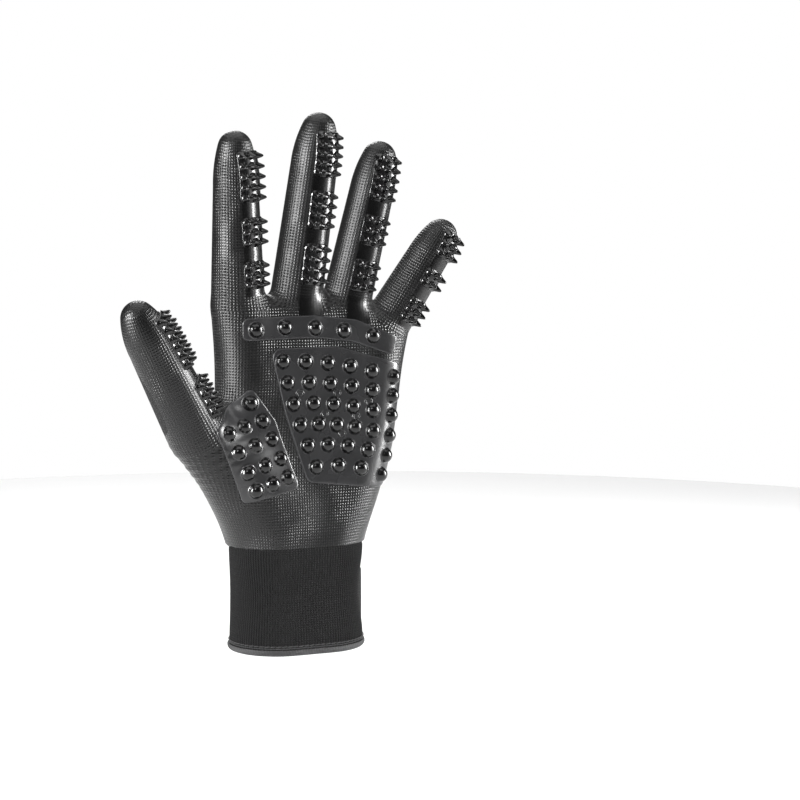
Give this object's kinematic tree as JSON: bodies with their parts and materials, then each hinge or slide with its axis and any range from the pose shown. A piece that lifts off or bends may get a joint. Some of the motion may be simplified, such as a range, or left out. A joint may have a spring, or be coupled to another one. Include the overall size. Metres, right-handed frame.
{
  "type": "pet grooming glove",
  "caption": "Left-hand knitted glove with a dipped palm, moulded rubber nubs on the palm and digits, a ribbed cuff and a hook-and-loop wrist strap.",
  "frame": {"origin": "centre of the wrist opening, in the plane of the hem's flat edge", "axes": "+Z from the wrist to the fingertips, -Y out of the palm, +Y out of the back of the hand, -X towards the thumb"},
  "size_m": [0.1625, 0.0583, 0.2381],
  "materials": {
    "knit": "matte fine knit",
    "coating": "satin dip with the knit showing through",
    "nub_rubber": "glossy moulded rubber",
    "overlock_thread": "overlocked thread",
    "hook_and_loop": "fuzzy",
    "strap_panel": "satin diagonal grain",
    "strap_webbing": "woven binding"
  },
  "bodies": {
    "hand": {"palm_liner": "knit", "palm_coating": "coating", "palm_pad": "nub_rubber", "thenar_pad": "nub_rubber", "knuckle_bar": "nub_rubber", "cuff": "knit", "hem": "overlock_thread", "loop_patch": "hook_and_loop", "strap_anchor": "strap_webbing"},
    "index_base": {"index_base_liner": "knit", "index_base_coating": "coating", "index_base_nubs": "nub_rubber"},
    "index_middle": {"index_middle_liner": "knit", "index_middle_coating": "coating", "index_middle_nubs": "nub_rubber"},
    "index_tip": {"index_tip_liner": "knit", "index_tip_coating": "coating", "index_tip_nubs": "nub_rubber"},
    "middle_base": {"middle_base_liner": "knit", "middle_base_coating": "coating", "middle_base_nubs": "nub_rubber"},
    "middle_middle": {"middle_middle_liner": "knit", "middle_middle_coating": "coating", "middle_middle_nubs": "nub_rubber"},
    "middle_tip": {"middle_tip_liner": "knit", "middle_tip_coating": "coating", "middle_tip_nubs": "nub_rubber"},
    "ring_base": {"ring_base_liner": "knit", "ring_base_coating": "coating", "ring_base_nubs": "nub_rubber"},
    "ring_middle": {"ring_middle_liner": "knit", "ring_middle_coating": "coating", "ring_middle_nubs": "nub_rubber"},
    "ring_tip": {"ring_tip_liner": "knit", "ring_tip_coating": "coating", "ring_tip_nubs": "nub_rubber"},
    "pinky_base": {"pinky_base_liner": "knit", "pinky_base_coating": "coating", "pinky_base_nubs": "nub_rubber"},
    "pinky_middle": {"pinky_middle_liner": "knit", "pinky_middle_coating": "coating", "pinky_middle_nubs": "nub_rubber"},
    "pinky_tip": {"pinky_tip_liner": "knit", "pinky_tip_coating": "coating", "pinky_tip_nubs": "nub_rubber"},
    "thumb_base": {"thumb_base_liner": "knit", "thumb_base_coating": "coating", "thumb_base_nubs": "nub_rubber"},
    "thumb_tip": {"thumb_tip_liner": "knit", "thumb_tip_coating": "coating", "thumb_tip_nubs": "nub_rubber"},
    "strap": {"strap_tab": "strap_webbing", "strap_edge": "strap_webbing", "strap_panel": "strap_panel", "hook_patch": "hook_and_loop"}
  },
  "joints": [
    {"name": "index_knuckle", "type": "hinge", "parent": "hand", "child": "index_base", "pos_m": [-0.02635, -0.00444, 0.15463], "axis": [0.9891, 0.1332, 0.0623], "range_deg": [0, 45], "stiffness_Nm_per_rad": 0.03},
    {"name": "index_middle_bend", "type": "hinge", "parent": "index_base", "child": "index_middle", "pos_m": [-0.02745, -0.00669, 0.17699], "axis": [0.9891, 0.1332, 0.0623], "range_deg": [0, 35], "stiffness_Nm_per_rad": 0.015},
    {"name": "index_tip_bend", "type": "hinge", "parent": "index_middle", "child": "index_tip", "pos_m": [-0.02839, -0.00859, 0.19597], "axis": [0.9891, 0.1332, 0.0623], "range_deg": [0, 24], "stiffness_Nm_per_rad": 0.008},
    {"name": "middle_knuckle", "type": "hinge", "parent": "hand", "child": "middle_base", "pos_m": [0.00072, -0.00425, 0.15454], "axis": [0.9889, 0.1149, -0.094], "range_deg": [0, 45], "stiffness_Nm_per_rad": 0.03},
    {"name": "middle_middle_bend", "type": "hinge", "parent": "middle_base", "child": "middle_middle", "pos_m": [0.00395, -0.00741, 0.1847], "axis": [0.9889, 0.1149, -0.094], "range_deg": [0, 35], "stiffness_Nm_per_rad": 0.015},
    {"name": "middle_tip_bend", "type": "hinge", "parent": "middle_middle", "child": "middle_tip", "pos_m": [0.0064, -0.00981, 0.20755], "axis": [0.9889, 0.1149, -0.094], "range_deg": [0, 24], "stiffness_Nm_per_rad": 0.008},
    {"name": "ring_knuckle", "type": "hinge", "parent": "hand", "child": "ring_base", "pos_m": [0.02501, -0.00437, 0.15453], "axis": [0.9787, 0.074, -0.1917], "range_deg": [0, 45], "stiffness_Nm_per_rad": 0.03},
    {"name": "ring_middle_bend", "type": "hinge", "parent": "ring_base", "child": "ring_middle", "pos_m": [0.0296, -0.00679, 0.17704], "axis": [0.9787, 0.074, -0.1917], "range_deg": [0, 35], "stiffness_Nm_per_rad": 0.015},
    {"name": "ring_tip_bend", "type": "hinge", "parent": "ring_middle", "child": "ring_tip", "pos_m": [0.03357, -0.00889, 0.19653], "axis": [0.9787, 0.074, -0.1917], "range_deg": [0, 24], "stiffness_Nm_per_rad": 0.008},
    {"name": "pinky_knuckle", "type": "hinge", "parent": "hand", "child": "pinky_base", "pos_m": [0.04434, -0.00545, 0.14335], "axis": [0.8482, 0.2362, -0.474], "range_deg": [0, 30], "stiffness_Nm_per_rad": 0.03},
    {"name": "pinky_middle_bend", "type": "hinge", "parent": "pinky_base", "child": "pinky_middle", "pos_m": [0.05433, -0.00813, 0.15988], "axis": [0.8482, 0.2362, -0.474], "range_deg": [0, 35], "stiffness_Nm_per_rad": 0.015},
    {"name": "pinky_tip_bend", "type": "hinge", "parent": "pinky_middle", "child": "pinky_tip", "pos_m": [0.06201, -0.01018, 0.1726], "axis": [0.8482, 0.2362, -0.474], "range_deg": [0, 24], "stiffness_Nm_per_rad": 0.008},
    {"name": "thumb_knuckle", "type": "hinge", "parent": "hand", "child": "thumb_base", "pos_m": [-0.04795, -0.01347, 0.10161], "axis": [0.4725, 0.7615, 0.4437], "range_deg": [0, 24], "stiffness_Nm_per_rad": 0.03},
    {"name": "thumb_tip_bend", "type": "hinge", "parent": "thumb_base", "child": "thumb_tip", "pos_m": [-0.06103, -0.01877, 0.12462], "axis": [0.4725, 0.7615, 0.4437], "range_deg": [0, 35], "stiffness_Nm_per_rad": 0.008},
    {"name": "strap_peel", "type": "hinge", "parent": "hand", "child": "strap", "pos_m": [0.03179, 0.01037, 0.0195], "axis": [0, 0, -1], "range_deg": [0, 150]}
  ],
  "couplings": [
    {"joint": "index_tip_bend", "follows": "index_middle_bend", "ratio": 0.67},
    {"joint": "middle_tip_bend", "follows": "middle_middle_bend", "ratio": 0.67},
    {"joint": "ring_tip_bend", "follows": "ring_middle_bend", "ratio": 0.67},
    {"joint": "pinky_tip_bend", "follows": "pinky_middle_bend", "ratio": 0.67}
  ]
}
